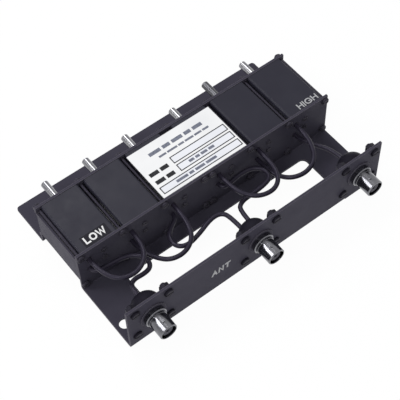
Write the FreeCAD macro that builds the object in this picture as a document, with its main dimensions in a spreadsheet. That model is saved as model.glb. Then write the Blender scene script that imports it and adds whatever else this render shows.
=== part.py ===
import FreeCAD, Part
import math
import os

import Sketcher

# Cavity duplexer: six square cavities held between two folded steel brackets,
# with a coaxial jack for each of the three ports and short coaxial jumpers
# that run from the jacks to the cavities.
# X runs from the low port to the high port, Y from the jacks to the tuning
# rods, Z up. Each piece is drawn with Y measured from the front face of the
# jack panel, and its placement then moves it so that the origin is at the
# centre of the footprint.

START, END, CENTRE = range(1, 4)
ROOT_POINT = -1
TOUCH = 1.0e-4
MARGIN = 1.0
PATH_SHARE = 0.45
CROWN_SHARE = 0.33
VOLUME_SHARE = 0.001

SIZES = (
    ("overall_width", 180.0, "width of both brackets"),
    ("sheet", 1.5, "thickness of the bracket sheet"),
    ("bend_radius", 0.4, "inside radius of the folds"),
    ("panel_height", 36.5, "height of the jack panel"),
    ("plate_height", 34.3, "height of the plates that clamp the cavities"),
    ("channel_depth", 46.5, "front of the panel to the front of the clamp plate"),
    ("rear_depth", 116.4, "front of the panel to the rear edge of the foot"),
    ("floor_arm", 24.0, "arm of the floor beside its opening"),
    ("window_width", "=overall_width - 2 * floor_arm", "opening in the floor of the channel"),
    ("window_depth", 38.2, "front of the panel to the rear edge of the opening"),
    ("window_lip", 2.3, "lower edge of the panel above the opening"),
    ("window_corner", 3.5, "corner radius of the opening"),
    ("mount_hole_radius", 3.25, "fixing holes"),
    ("front_mount_inset", 5.6, "front fixing hole from the end of the bracket"),
    ("front_mount_depth", 13.9, "front fixing hole from the panel"),
    ("rear_mount_inset", 20.0, "rear fixing hole from the end of the bracket"),
    ("rear_mount_setback", 15.0, "rear fixing hole from the rear edge"),
    ("foot_corner", 2.0, "corner radius of the rear foot"),
    ("tab_bottom", 9.3, "lower edge of the end tabs"),
    ("tab_top", 29.8, "upper edge of the end tabs"),
    ("tab_gap", 0.1, "end tab to the front clamp plate"),
    ("middle_gap", 8.0, "gap between the two inner cavities"),
    ("tube_gap", 3.8, "gap between the other cavities"),
    ("end_margin", 3.4, "outer cavity to the end of the brackets"),
    ("tube_width", "=(overall_width - middle_gap - 4 * tube_gap - 2 * end_margin) / 6", "outside of a square cavity tube"),
    ("tube_wall", 1.6, "wall of a cavity tube"),
    ("tube_length", 39.2, "length of a cavity tube"),
    ("tube_corner", 1.4, "outside corner radius of a cavity tube"),
    ("tube_inner_corner", 0.6, "inside corner radius of a cavity tube"),
    ("tube_top", 34.0, "upper face of the cavity tubes"),
    ("tube_pitch", "=tube_width + tube_gap", "cavity to cavity"),
    ("inner_tube_x", "=(middle_gap + tube_width) / 2", "inner cavities from the middle"),
    ("rod_radius", 2.38, "tuning rod"),
    ("rod_length", 37.5, "tuning rod"),
    ("rod_chamfer", 0.4, "edge of a tuning rod"),
    ("rod_drop", 0.2, "tuning rods below the axis of the cavities"),
    ("rod_height", "=tube_top - tube_width / 2 - rod_drop", "axis of the tuning rods above the base"),
    ("rod_shift", 0.5, "inner tuning rods outside the axis of their cavities"),
    ("inner_rod_x", "=inner_tube_x + rod_shift", "inner tuning rods from the middle"),
    ("rod_creep", 0.95, "pitch of the cavities less that of the tuning rods"),
    ("rod_pitch", "=tube_pitch - rod_creep", "tuning rod to tuning rod"),
    ("rod_fit", 0.06, "radial clearance of a rod in its bush"),
    ("bush_radius", 3.5, "sleeve of a rod bush"),
    ("bush_flange_radius", 5.0, "flange of a rod bush inside the cavity"),
    ("bush_flange", 2.0, "thickness of that flange"),
    ("bush_stand", 4.4, "sleeve behind the rear plate"),
    ("lock_nut_flats", 10.0, "lock nut across flats"),
    ("lock_nut_thickness", 2.5, "lock nut"),
    ("post_radius", 4.75, "centre conductor"),
    ("post_length", 30.0, "centre conductor"),
    ("post_bore_radius", 2.75, "bore of the centre conductor round its rod"),
    ("post_bore_depth", 22.0, "bore of the centre conductor"),
    ("foot_share", 0.26, "radius of the foot as a share of the width of its cavity"),
    ("foot_radius", "=foot_share * tube_width", "foot of the centre conductor"),
    ("foot_thickness", 3.0, "foot of the centre conductor"),
    ("tie_radius", 0.95, "shank of a tie screw"),
    ("tie_head_radius", 2.4, "head of a tie screw"),
    ("tie_head", 1.6, "head height of a tie screw"),
    ("tie_end_gap", 1.0, "outer tie screw from the outer cavity"),
    ("tie_middle_gap", 1.4, "middle tie screw from the inner cavity"),
    ("tie_high", 31.3, "upper row of tie screws above the base"),
    ("tie_low", 5.2, "lower row of tie screws above the base"),
    ("tie_nut_flats", 4.0, "tie nut across flats"),
    ("tie_nut_thickness", 2.0, "tie nut"),
    ("tie_end", 0.9, "thread past the tie nut"),
    ("post_screw_radius", 1.2, "shank of a post screw"),
    ("post_screw_head_radius", 1.7, "head of a post screw"),
    ("post_screw_head", 0.8, "head height of a post screw"),
    ("post_screw_grip", 2.4, "post screw inside the foot"),
    ("post_screw_rise", 4.8, "upper post screw above the tuning rods"),
    ("post_screw_high", "=rod_height + post_screw_rise", "upper post screw above the base"),
    ("post_screw_drop", 2.3, "lower post screw below the tuning rods"),
    ("post_screw_low", "=rod_height - post_screw_drop", "lower post screw above the base"),
    ("hole_fit", 0.1, "radial clearance of screws in their holes"),
    ("cable_radius", 1.4, "jacket of a jumper cable"),
    ("cable_fit", 0.2, "radial clearance of a cable in its hole"),
    ("upper_cable_inset", 3.9, "upper cable hole inside the left side of its cavity"),
    ("upper_cable_shift", "=tube_width / 2 - upper_cable_inset", "upper cable hole left of the cavity's middle"),
    ("upper_cable_rise", 4.9, "upper cable hole above the tuning rods"),
    ("upper_cable_height", "=rod_height + upper_cable_rise", "upper cable hole above the base"),
    ("lower_cable_inset", 3.3, "lower cable hole inside the left side of its cavity"),
    ("lower_cable_shift", "=tube_width / 2 - lower_cable_inset", "lower cable hole left of the cavity's middle"),
    ("lower_cable_drop", 4.1, "lower cable hole below the tuning rods"),
    ("lower_cable_height", "=rod_height - lower_cable_drop", "lower cable hole above the base"),
    ("loop_wire_radius", 0.6, "wire of a coupling loop"),
    ("loop_reach", 9.0, "straight part of a coupling loop"),
    ("jack_height", 20.6, "axis of the jacks above the base"),
    ("jack_inset", 16.3, "outer jacks from the ends of the brackets"),
    ("outer_jack_x", "=overall_width / 2 - jack_inset", "outer jacks from the middle"),
    ("middle_jack_x", 0.6, "middle jack from the middle"),
    ("jack_reach", 14.4, "mouth of a jack in front of the panel"),
    ("barrel_radius", 5.5, "barrel of a jack"),
    ("barrel_bore_radius", 4.7, "bore of a jack"),
    ("thread_radius", 5.9, "threaded part of a jack"),
    ("thread_reach", 4.6, "threaded part in front of the panel"),
    ("jack_flange_radius", 7.9, "flange of a jack behind the panel"),
    ("jack_flange", 1.6, "thickness of that flange"),
    ("mouth_chamfer", 0.35, "edge of the mouth of a jack"),
    ("stud_radius", 0.95, "bayonet stud"),
    ("stud_span", 12.3, "across both bayonet studs"),
    ("stud_setback", 5.0, "bayonet stud from the mouth"),
    ("washer_radius", 8.3, "washer under a jack nut"),
    ("washer_thickness", 0.7, "washer under a jack nut"),
    ("ring_nut_radius", 6.8, "round nut of a jack"),
    ("ring_nut_thickness", 2.9, "round nut of a jack"),
    ("ring_nut_chamfer", 0.4, "edge of a round nut"),
    ("jack_fit", 0.05, "radial clearance inside a jack"),
    ("nose_radius", 3.4, "nose of the insulator"),
    ("nose_setback", 1.2, "nose from the mouth of the jack"),
    ("socket_depth", 9.4, "mouth of a jack to the base of its insulator"),
    ("contact_radius", 1.05, "centre contact"),
    ("contact_bore_radius", 0.69, "socket of the centre contact"),
    ("contact_setback", 3.2, "centre contact from the mouth of the jack"),
    ("contact_bore_depth", 5.0, "socket of the centre contact"),
    ("contact_tail", 3.4, "centre contact behind the jack's flange"),
    ("hood_radius", 9.2, "hood behind a jack"),
    ("hood_depth", 13.6, "front of the panel to the end of a hood"),
    ("hood_round", 8.0, "rounded end of a hood"),
    ("hood_wall", 0.8, "wall of a hood"),
    ("hood_exit_depth", 2.4, "cut of a cable exit through the crown of a hood"),
    ("hood_plate", 1.0, "square plate of a hood"),
    ("hood_plate_half", 13.4, "half width of the square plate of a hood"),
    ("hood_plate_corner", 2.0, "corner radius of the square plate of a hood"),
    ("hood_fixing_x", 11.0, "hood screws from the jack's axis, sideways"),
    ("hood_fixing_z", 11.2, "hood screws from the jack's axis, upwards"),
    ("hood_screw_radius", 1.5, "shank of a hood screw"),
    ("hood_screw_head_radius", 2.9, "head of a hood screw"),
    ("hood_screw_head", 1.5, "head height of a hood screw"),
    ("hood_nut_flats", 5.5, "hood nut across flats"),
    ("hood_nut_thickness", 2.3, "hood nut"),
    ("hood_screw_end", 1.2, "thread past the hood nut"),
    ("slot_width", 0.7, "driver slot of the screws"),
    ("slot_depth", 0.7, "driver slot of the screws"),
    ("twin_cable_shift", 3.1, "cables of the middle jack from its axis"),
    ("label_overhang", 0.5, "nameplate past the inner cavities, sideways"),
    ("label_left", "=-inner_tube_x - tube_width / 2 - label_overhang", "left edge of the nameplate"),
    ("label_width", "=-2 * label_left", "nameplate"),
    ("label_gap", 0.1, "nameplate behind the front clamp plate"),
    ("label_front", "=channel_depth + sheet + label_gap", "front edge of the nameplate"),
    ("label_depth", 36.1, "nameplate"),
    ("label_thickness", 0.6, "nameplate"),
)

# How far the tip of each tuning rod stands behind the rear plate, from the
# low end to the high end: every rod is set to its own cavity's frequency.
ROD_SETTINGS = (18.8, 17.6, 17.2, 15.7, 19.3, 17.5)

document = FreeCAD.newDocument("CavityDuplexer")
sheet = document.addObject("Spreadsheet::Sheet", "Sizes")
for row, (alias, size, note) in enumerate(SIZES, start=1):
    sheet.set(f"A{row}", note)
    sheet.set(f"B{row}", str(size))
    sheet.setAlias(f"B{row}", alias)
document.recompute()


def value(expression):
    """Number that an expression on the sheet gives."""
    return float(sheet.evalExpression(expression))


DATUM = "(Sizes.jack_reach - Sizes.rear_depth) / 2"
CLAMP_FRONT = "Sizes.channel_depth"
CLAMP_REAR = "(Sizes.channel_depth + Sizes.sheet)"
REAR_FRONT = "(Sizes.channel_depth + Sizes.sheet + Sizes.tube_length)"
REAR_BACK = "(Sizes.channel_depth + 2 * Sizes.sheet + Sizes.tube_length)"
HALF_WIDTH = "(Sizes.overall_width / 2)"
TUBE_AXIS = "(Sizes.tube_top - Sizes.tube_width / 2)"

# Cavities and tuning rods from the low end to the high end.
STEPS = ((-1, 2), (-1, 1), (-1, 0), (1, 0), (1, 1), (1, 2))
TUBE_X = [f"{side} * (Sizes.inner_tube_x + {step} * Sizes.tube_pitch)" for side, step in STEPS]
ROD_X = [f"{side} * (Sizes.inner_rod_x + {step} * Sizes.rod_pitch)" for side, step in STEPS]
JACK_X = {"low": "-Sizes.outer_jack_x", "antenna": "Sizes.middle_jack_x", "high": "Sizes.outer_jack_x"}

# Tie screws stand in the gaps beside the cavities, in mirrored pairs.
HALF_TUBE = "Sizes.tube_width / 2"
TIE_OFFSETS = (
    f"(Sizes.inner_tube_x - {HALF_TUBE} - Sizes.tie_middle_gap)",
    "(Sizes.inner_tube_x + Sizes.tube_pitch / 2)",
    "(Sizes.inner_tube_x + 3 * Sizes.tube_pitch / 2)",
    f"(Sizes.inner_tube_x + 2 * Sizes.tube_pitch + {HALF_TUBE} + Sizes.tie_end_gap)",
)
TIE_PLACES = [
    (f"{side} * {offset}", height)
    for side in (-1, 1)
    for offset in TIE_OFFSETS
    for height in ("Sizes.tie_high", "Sizes.tie_low")
]
POST_SCREW_PLACES = [
    (across, height) for across in ROD_X for height in ("Sizes.post_screw_high", "Sizes.post_screw_low")
]
HOOD_SCREW_PLACES = [
    (f"{across} + {side} * Sizes.hood_fixing_x", f"Sizes.jack_height + {rise} * Sizes.hood_fixing_z")
    for across in JACK_X.values()
    for side in (-1, 1)
    for rise in (-1, 1)
]

subparts = []


def finish(piece, label, across="0", up="0"):
    """Name a sub-part and bind its placement to the sheet."""
    piece.Label = label
    piece.setExpression("Placement.Base.x", across)
    piece.setExpression("Placement.Base.y", DATUM)
    piece.setExpression("Placement.Base.z", up)
    subparts.append(piece)
    return piece


def new_body(name):
    """Empty body that will hold one solid."""
    return document.addObject("PartDesign::Body", name)


def sketch_on(body, plane, name, lift="0"):
    """Sketch on one of the body's own origin planes, raised along its normal."""
    sketch = body.newObject("Sketcher::SketchObject", name)
    for feature in body.Origin.OriginFeatures:
        if feature.Role == plane:
            sketch.AttachmentSupport = (feature, "")
    sketch.MapMode = "FlatFace"
    sketch.setExpression("AttachmentOffset.Base.z", lift)
    return sketch


def bind(sketch, constraints):
    """Add dimensions to a sketch and tie each of them to its expression."""
    first = len(sketch.Constraints)
    sketch.addConstraint([constraint for constraint, _ in constraints])
    for number, (_, expression) in enumerate(constraints, start=first):
        sketch.setExpression(f"Constraints[{number}]", expression)


def located(geometry, point, across, up):
    """Dimensions that hold a point of a sketch at two expressions."""
    return [
        (Sketcher.Constraint(kind, ROOT_POINT, 1, geometry, point, value(text)), text)
        for kind, text in (("DistanceX", across), ("DistanceY", up))
    ]


def outline(sketch, corners):
    """Closed outline of straight runs; each corner is a pair of expressions."""
    first = sketch.GeometryCount
    points = [FreeCAD.Vector(value(across), value(up), 0) for across, up in corners]
    ends = points[1:] + points[:1]
    sketch.addGeometry([Part.LineSegment(near, far) for near, far in zip(points, ends)])
    joints = []
    dimensions = []
    for index, (across, up) in enumerate(corners):
        before = first + (index - 1) % len(corners)
        joints.append(Sketcher.Constraint("Coincident", before, END, first + index, START))
        dimensions += located(first + index, START, across, up)
    sketch.addConstraint(joints)
    bind(sketch, dimensions)


def rectangle(sketch, left, right, low, high):
    """Outline of a rectangle between four expressions."""
    outline(sketch, [(left, low), (right, low), (right, high), (left, high)])


def circles(sketch, places, radius):
    """Circles of one radius, each centred on a pair of expressions."""
    size = value(radius)
    for across, up in places:
        centre = FreeCAD.Vector(value(across), value(up), 0)
        number = sketch.addGeometry(Part.Circle(centre, FreeCAD.Vector(0, 0, 1), size))
        dimensions = located(number, CENTRE, across, up)
        dimensions.append((Sketcher.Constraint("Radius", number, size), radius))
        bind(sketch, dimensions)


def quarter(sketch, across, up, radius):
    """Quarter circle to the right of its centre and above it."""
    centre = FreeCAD.Vector(value(across), value(up), 0)
    circle = Part.Circle(centre, FreeCAD.Vector(0, 0, 1), value(radius))
    number = sketch.addGeometry(Part.ArcOfCircle(circle, 0, math.pi / 2))
    dimensions = located(number, CENTRE, across, up)
    dimensions.append((Sketcher.Constraint("Radius", number, value(radius)), radius))
    level = Sketcher.Constraint("DistanceY", ROOT_POINT, 1, number, START, value(up))
    upright = Sketcher.Constraint("DistanceX", ROOT_POINT, 1, number, END, value(across))
    bind(sketch, dimensions + [(level, up), (upright, across)])
    return number


def bridge(sketch, near, far):
    """Straight run between two points that the sketch already has."""
    line = Part.LineSegment(sketch.getPoint(*near), sketch.getPoint(*far))
    number = sketch.addGeometry(line)
    sketch.addConstraint([
        Sketcher.Constraint("Coincident", number, START, *near),
        Sketcher.Constraint("Coincident", number, END, *far),
    ])


def hexagon(sketch, flats):
    """Hexagon round the sketch's origin, with its flats an expression apart."""
    corner = f"({flats} / 2 / cos(30))"
    turns = [30 + 60 * number for number in range(6)]
    outline(sketch, [(f"{corner} * cos({turn})", f"{corner} * sin({turn})") for turn in turns])


def settle(feature):
    """Recompute, and stop at a feature that has failed."""
    document.recompute()
    if "Invalid" in feature.State or feature.Shape.isNull():
        raise RuntimeError(f"{feature.Name}: {feature.getStatusString()}")
    return feature


def pad(body, sketch, length, reverse=False):
    """Material from a sketch, along its normal or against it."""
    feature = body.newObject("PartDesign::Pad", f"{sketch.Name}Pad")
    feature.Profile = sketch
    feature.setExpression("Length", length)
    feature.Reversed = reverse
    return settle(feature)


def cut(body, feature, before):
    """Check that a cut has taken something away."""
    settle(feature)
    if not feature.Shape.Volume < before - TOUCH:
        raise RuntimeError(f"{feature.Name} of {body.Name} cuts nothing")
    return feature


def pocket(body, sketch, length, reverse=False):
    """Cut from a sketch, against its normal unless it is reversed."""
    before = body.Tip.Shape.Volume
    feature = body.newObject("PartDesign::Pocket", f"{sketch.Name}Cut")
    feature.Profile = sketch
    feature.setExpression("Length", length)
    feature.Reversed = reverse
    return cut(body, feature, before)


def revolve(body, corners, name="Profile"):
    """Turned solid: the profile's first value is a radius, its second lies along Y."""
    sketch = sketch_on(body, "XY_Plane", f"{body.Name}{name}")
    outline(sketch, corners)
    feature = body.newObject("PartDesign::Revolution", f"{body.Name}{name}Turn")
    feature.Profile = sketch
    feature.ReferenceAxis = (sketch, ["V_Axis"])
    return settle(feature)


def bore(body, corners, name="Bore"):
    """Turned cut, drawn as a turned solid is."""
    before = body.Tip.Shape.Volume
    sketch = sketch_on(body, "XY_Plane", f"{body.Name}{name}")
    outline(sketch, corners)
    feature = body.newObject("PartDesign::Groove", f"{body.Name}{name}Turn")
    feature.Profile = sketch
    feature.ReferenceAxis = (sketch, ["V_Axis"])
    return cut(body, feature, before)


def edges_at(body, points):
    """Names of the edges of a body that pass through the given points."""
    vertices = [Part.Vertex(FreeCAD.Vector(*point)) for point in points]
    names = []
    for number, edge in enumerate(body.Tip.Shape.Edges, start=1):
        if any(edge.distToShape(vertex)[0] < TOUCH for vertex in vertices):
            names.append(f"Edge{number}")
    return names


def round_edges(body, points, radius, name):
    """Fillet on the edges that pass through the given points."""
    base = body.Tip
    names = edges_at(body, points)
    feature = body.newObject("PartDesign::Fillet", f"{body.Name}{name}")
    feature.Base = (base, names)
    feature.setExpression("Radius", radius)
    return settle(feature)


def bevel_edges(body, points, size, name):
    """Chamfer on the edges that pass through the given points."""
    base = body.Tip
    names = edges_at(body, points)
    feature = body.newObject("PartDesign::Chamfer", f"{body.Name}{name}")
    feature.Base = (base, names)
    feature.setExpression("Size", size)
    return settle(feature)


def drill(body, places, radius, front, depth, name):
    """Round holes along Y, from a plane in front of the wall and through it."""
    sketch = sketch_on(body, "XZ_Plane", f"{body.Name}{name}", f"-({front}) + {MARGIN}")
    circles(sketch, places, radius)
    return pocket(body, sketch, f"{depth} + 2 * {MARGIN}")


def cable_places():
    """Upper and lower cable hole of each cavity, from the low end."""
    upper = [(f"{across} - Sizes.upper_cable_shift", "Sizes.upper_cable_height") for across in TUBE_X]
    lower = [(f"{across} - Sizes.lower_cable_shift", "Sizes.lower_cable_height") for across in TUBE_X]
    return upper, lower


def make_front_bracket():
    """Channel folded from one sheet: jack panel, floor with a window, clamp plate."""
    body = new_body("FrontBracket")
    profile = sketch_on(body, "YZ_Plane", "FrontBracketFold", f"-{HALF_WIDTH}")
    outline(profile, [
        ("0", "0"),
        (CLAMP_REAR, "0"),
        (CLAMP_REAR, "Sizes.plate_height"),
        (CLAMP_FRONT, "Sizes.plate_height"),
        (CLAMP_FRONT, "Sizes.sheet"),
        ("Sizes.sheet", "Sizes.sheet"),
        ("Sizes.sheet", "Sizes.panel_height"),
        ("0", "Sizes.panel_height"),
    ])
    pad(body, profile, "Sizes.overall_width")
    thick = value("Sizes.sheet")
    inner = [(0, thick, thick), (0, value(CLAMP_FRONT), thick)]
    outer = [(0, 0, 0), (0, value(CLAMP_REAR), 0)]
    round_edges(body, inner, "Sizes.bend_radius", "InnerFolds")
    round_edges(body, outer, "Sizes.bend_radius + Sizes.sheet", "OuterFolds")

    window = sketch_on(body, "XY_Plane", "FrontBracketWindow", "Sizes.window_lip")
    half = "Sizes.window_width / 2"
    rectangle(window, f"-{half}", half, f"-{MARGIN}", "Sizes.window_depth")
    pocket(body, window, f"Sizes.window_lip + {MARGIN}")
    corners = [(side * value(half), value("Sizes.window_depth"), thick / 2) for side in (-1, 1)]
    round_edges(body, corners, "Sizes.window_corner", "WindowCorners")

    mounts = sketch_on(body, "XY_Plane", "FrontBracketMounts", f"Sizes.sheet + {MARGIN}")
    inset = f"({HALF_WIDTH} - Sizes.front_mount_inset)"
    places = [(f"{side} * {inset}", "Sizes.front_mount_depth") for side in (-1, 1)]
    circles(mounts, places, "Sizes.mount_hole_radius")
    pocket(body, mounts, f"Sizes.sheet + 2 * {MARGIN}")

    jacks = [(across, "Sizes.jack_height") for across in JACK_X.values()]
    drill(body, jacks, "Sizes.thread_radius + Sizes.hole_fit", "0", "Sizes.sheet", "JackHoles")
    hood_hole = "Sizes.hood_screw_radius + Sizes.hole_fit"
    drill(body, HOOD_SCREW_PLACES, hood_hole, "0", "Sizes.sheet", "HoodHoles")
    upper, lower = cable_places()
    cable_hole = "Sizes.cable_radius + Sizes.cable_fit"
    drill(body, upper + lower, cable_hole, CLAMP_FRONT, "Sizes.sheet", "CableHoles")
    tie_hole = "Sizes.tie_radius + Sizes.hole_fit"
    drill(body, TIE_PLACES, tie_hole, CLAMP_FRONT, "Sizes.sheet", "TieHoles")
    post_hole = "Sizes.post_screw_radius + Sizes.hole_fit"
    drill(body, POST_SCREW_PLACES, post_hole, CLAMP_FRONT, "Sizes.sheet", "PostHoles")
    finish(body, "front_bracket")


def add_tabs(body):
    """End tabs, folded forward from the rear plate, with the plate cleared for the folds."""
    inside = f"({HALF_WIDTH} - Sizes.sheet)"
    fold = f"({HALF_WIDTH} - Sizes.sheet - Sizes.bend_radius)"
    fold_axis = f"({REAR_FRONT} - Sizes.bend_radius)"
    height = "Sizes.tab_top - Sizes.tab_bottom"
    relief = sketch_on(body, "XY_Plane", "TabRelief", "Sizes.tab_bottom")
    past = f"{HALF_WIDTH} + {MARGIN}"
    rectangle(relief, fold, past, f"{REAR_FRONT} - {MARGIN}", f"{REAR_BACK} + {MARGIN}")
    clearance = pocket(body, relief, height, reverse=True)

    tab = sketch_on(body, "XY_Plane", "Tab", "Sizes.tab_bottom")
    inner = quarter(tab, fold, fold_axis, "Sizes.bend_radius")
    outer = quarter(tab, fold, fold_axis, "Sizes.bend_radius + Sizes.sheet")
    front = f"{CLAMP_REAR} + Sizes.tab_gap"
    ends = [FreeCAD.Vector(value(across), value(front), 0) for across in (inside, HALF_WIDTH)]
    edge = tab.addGeometry(Part.LineSegment(*ends))
    bind(tab, located(edge, START, inside, front) + located(edge, END, HALF_WIDTH, front))
    bridge(tab, (edge, START), (inner, START))
    bridge(tab, (edge, END), (outer, START))
    bridge(tab, (inner, END), (outer, END))
    wall = pad(body, tab, height)

    mirror = body.newObject("PartDesign::Mirrored", "TabMirror")
    mirror.Originals = [clearance, wall]
    for feature in body.Origin.OriginFeatures:
        if feature.Role == "YZ_Plane":
            mirror.MirrorPlane = (feature, [""])
    body.Tip = mirror
    document.recompute()


def make_rear_bracket():
    """Rear plate folded from one sheet, with a foot to the rear and a tab at each end."""
    body = new_body("RearBracket")
    profile = sketch_on(body, "YZ_Plane", "RearBracketFold", f"-{HALF_WIDTH}")
    outline(profile, [
        (REAR_FRONT, "0"),
        ("Sizes.rear_depth", "0"),
        ("Sizes.rear_depth", "Sizes.sheet"),
        (REAR_BACK, "Sizes.sheet"),
        (REAR_BACK, "Sizes.plate_height"),
        (REAR_FRONT, "Sizes.plate_height"),
    ])
    pad(body, profile, "Sizes.overall_width")
    thick = value("Sizes.sheet")
    round_edges(body, [(0, value(REAR_BACK), thick)], "Sizes.bend_radius", "InnerFold")
    round_edges(body, [(0, value(REAR_FRONT), 0)], "Sizes.bend_radius + Sizes.sheet", "OuterFold")
    half = value(HALF_WIDTH)
    corners = [(side * half, value("Sizes.rear_depth"), thick / 2) for side in (-1, 1)]
    round_edges(body, corners, "Sizes.foot_corner", "FootCorners")

    mounts = sketch_on(body, "XY_Plane", "RearBracketMounts", f"Sizes.sheet + {MARGIN}")
    inset = f"({HALF_WIDTH} - Sizes.rear_mount_inset)"
    setback = "Sizes.rear_depth - Sizes.rear_mount_setback"
    circles(mounts, [(f"{side} * {inset}", setback) for side in (-1, 1)], "Sizes.mount_hole_radius")
    pocket(body, mounts, f"Sizes.sheet + 2 * {MARGIN}")

    tie_hole = "Sizes.tie_radius + Sizes.hole_fit"
    drill(body, TIE_PLACES, tie_hole, REAR_FRONT, "Sizes.sheet", "TieHoles")
    rods = [(across, "Sizes.rod_height") for across in ROD_X]
    drill(body, rods, "Sizes.bush_radius + Sizes.hole_fit", REAR_FRONT, "Sizes.sheet", "BushHoles")
    add_tabs(body)
    finish(body, "rear_bracket")


def make_tube(number, across):
    """Square tube of one cavity, clamped between the two plates."""
    body = new_body(f"CavityTube{number}")
    section = sketch_on(body, "XZ_Plane", f"CavityTube{number}Section", f"-{CLAMP_REAR}")
    half = f"({HALF_TUBE})"
    rectangle(section, f"-{half}", half, f"-{half}", half)
    clear = f"({half} - Sizes.tube_wall)"
    rectangle(section, f"-{clear}", clear, f"-{clear}", clear)
    pad(body, section, "Sizes.tube_length", reverse=True)
    middle = value(f"{CLAMP_REAR} + Sizes.tube_length / 2")
    signs = [(right, rise) for right in (-1, 1) for rise in (-1, 1)]
    outer = [(right * value(half), middle, rise * value(half)) for right, rise in signs]
    round_edges(body, outer, "Sizes.tube_corner", "OuterCorners")
    inner = [(right * value(clear), middle, rise * value(clear)) for right, rise in signs]
    round_edges(body, inner, "Sizes.tube_inner_corner", "InnerCorners")
    finish(body, f"cavity_tube_{number}", across, TUBE_AXIS)


def make_conductor(number, across):
    """Hollow post on the front plate: the rod slides in its bore to tune the cavity."""
    body = new_body(f"Conductor{number}")
    foot = f"{CLAMP_REAR} + Sizes.foot_thickness"
    open_end = f"{CLAMP_REAR} + Sizes.post_length"
    revolve(body, [
        ("0", CLAMP_REAR),
        ("Sizes.foot_radius", CLAMP_REAR),
        ("Sizes.foot_radius", foot),
        ("Sizes.post_radius", foot),
        ("Sizes.post_radius", open_end),
        ("0", open_end),
    ])
    floor = f"{open_end} - Sizes.post_bore_depth"
    past = f"{open_end} + {MARGIN}"
    bore(body, [
        ("0", floor),
        ("Sizes.post_bore_radius", floor),
        ("Sizes.post_bore_radius", past),
        ("0", past),
    ])
    heights = ("Sizes.post_screw_high", "Sizes.post_screw_low")
    screws = [("0", f"{height} - Sizes.rod_height") for height in heights]
    sketch = sketch_on(body, "XZ_Plane", f"Conductor{number}Threads", f"-{CLAMP_REAR} + {MARGIN}")
    circles(sketch, screws, "Sizes.post_screw_radius + Sizes.jack_fit")
    pocket(body, sketch, f"{MARGIN} + Sizes.post_screw_grip + Sizes.hole_fit")
    finish(body, f"centre_conductor_{number}", across, "Sizes.rod_height")


def make_rod(number, across, setting):
    """Tuning rod, set to stand out of the rear plate by its own amount."""
    body = new_body(f"TuningRod{number}")
    tip = f"{REAR_BACK} + {setting}"
    inner_end = f"{tip} - Sizes.rod_length"
    revolve(body, [
        ("0", inner_end),
        ("Sizes.rod_radius", inner_end),
        ("Sizes.rod_radius", tip),
        ("0", tip),
    ])
    radius = value("Sizes.rod_radius")
    ends = [(radius, value(place), 0) for place in (inner_end, tip)]
    bevel_edges(body, ends, "Sizes.rod_chamfer", "Ends")
    finish(body, f"tuning_rod_{number}", across, "Sizes.rod_height")


def make_bush(number, across):
    """Bush that guides a rod through the rear plate, with its flange inside the cavity."""
    body = new_body(f"RodBush{number}")
    inside = f"{REAR_FRONT} - Sizes.bush_flange"
    outside = f"{REAR_BACK} + Sizes.bush_stand"
    clear = "Sizes.rod_radius + Sizes.rod_fit"
    revolve(body, [
        (clear, inside),
        ("Sizes.bush_flange_radius", inside),
        ("Sizes.bush_flange_radius", REAR_FRONT),
        ("Sizes.bush_radius", REAR_FRONT),
        ("Sizes.bush_radius", outside),
        (clear, outside),
    ])
    finish(body, f"rod_bush_{number}", across, "Sizes.rod_height")


def make_jack(name, across):
    """Coaxial jack: bayonet barrel, thread through the panel, flange behind it."""
    body = new_body(f"{name.capitalize()}Jack")
    mouth = "-Sizes.jack_reach"
    clear = "Sizes.barrel_bore_radius"
    rear = "Sizes.sheet + Sizes.jack_flange"
    revolve(body, [
        (clear, mouth),
        ("Sizes.barrel_radius", mouth),
        ("Sizes.barrel_radius", "-Sizes.thread_reach"),
        ("Sizes.thread_radius", "-Sizes.thread_reach"),
        ("Sizes.thread_radius", "Sizes.sheet"),
        ("Sizes.jack_flange_radius", "Sizes.sheet"),
        ("Sizes.jack_flange_radius", rear),
        (clear, rear),
    ])
    bevel_edges(body, [(value("Sizes.barrel_radius"), value(mouth), 0)], "Sizes.mouth_chamfer", "Mouth")
    wall = "(Sizes.barrel_bore_radius + Sizes.barrel_radius) / 2"
    for side in (-1, 1):
        stud = sketch_on(body, "XY_Plane", f"{body.Name}Stud{side + 1}", f"{side} * {wall}")
        circles(stud, [("0", "-Sizes.jack_reach + Sizes.stud_setback")], "Sizes.stud_radius")
        pad(body, stud, f"Sizes.stud_span / 2 - {wall}", reverse=side < 0)
    finish(body, f"{name}_jack", across, "Sizes.jack_height")


def make_insulator(name, across):
    """Insulator inside a jack, with a nose round the centre contact."""
    body = new_body(f"{name.capitalize()}Insulator")
    rear = "Sizes.sheet + Sizes.jack_flange"
    base = "-Sizes.jack_reach + Sizes.socket_depth"
    nose = "-Sizes.jack_reach + Sizes.nose_setback"
    clear = "Sizes.contact_radius + Sizes.jack_fit"
    outside = "Sizes.barrel_bore_radius - Sizes.jack_fit"
    revolve(body, [
        (clear, nose),
        ("Sizes.nose_radius", nose),
        ("Sizes.nose_radius", base),
        (outside, base),
        (outside, rear),
        (clear, rear),
    ])
    finish(body, f"{name}_insulator", across, "Sizes.jack_height")


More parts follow.
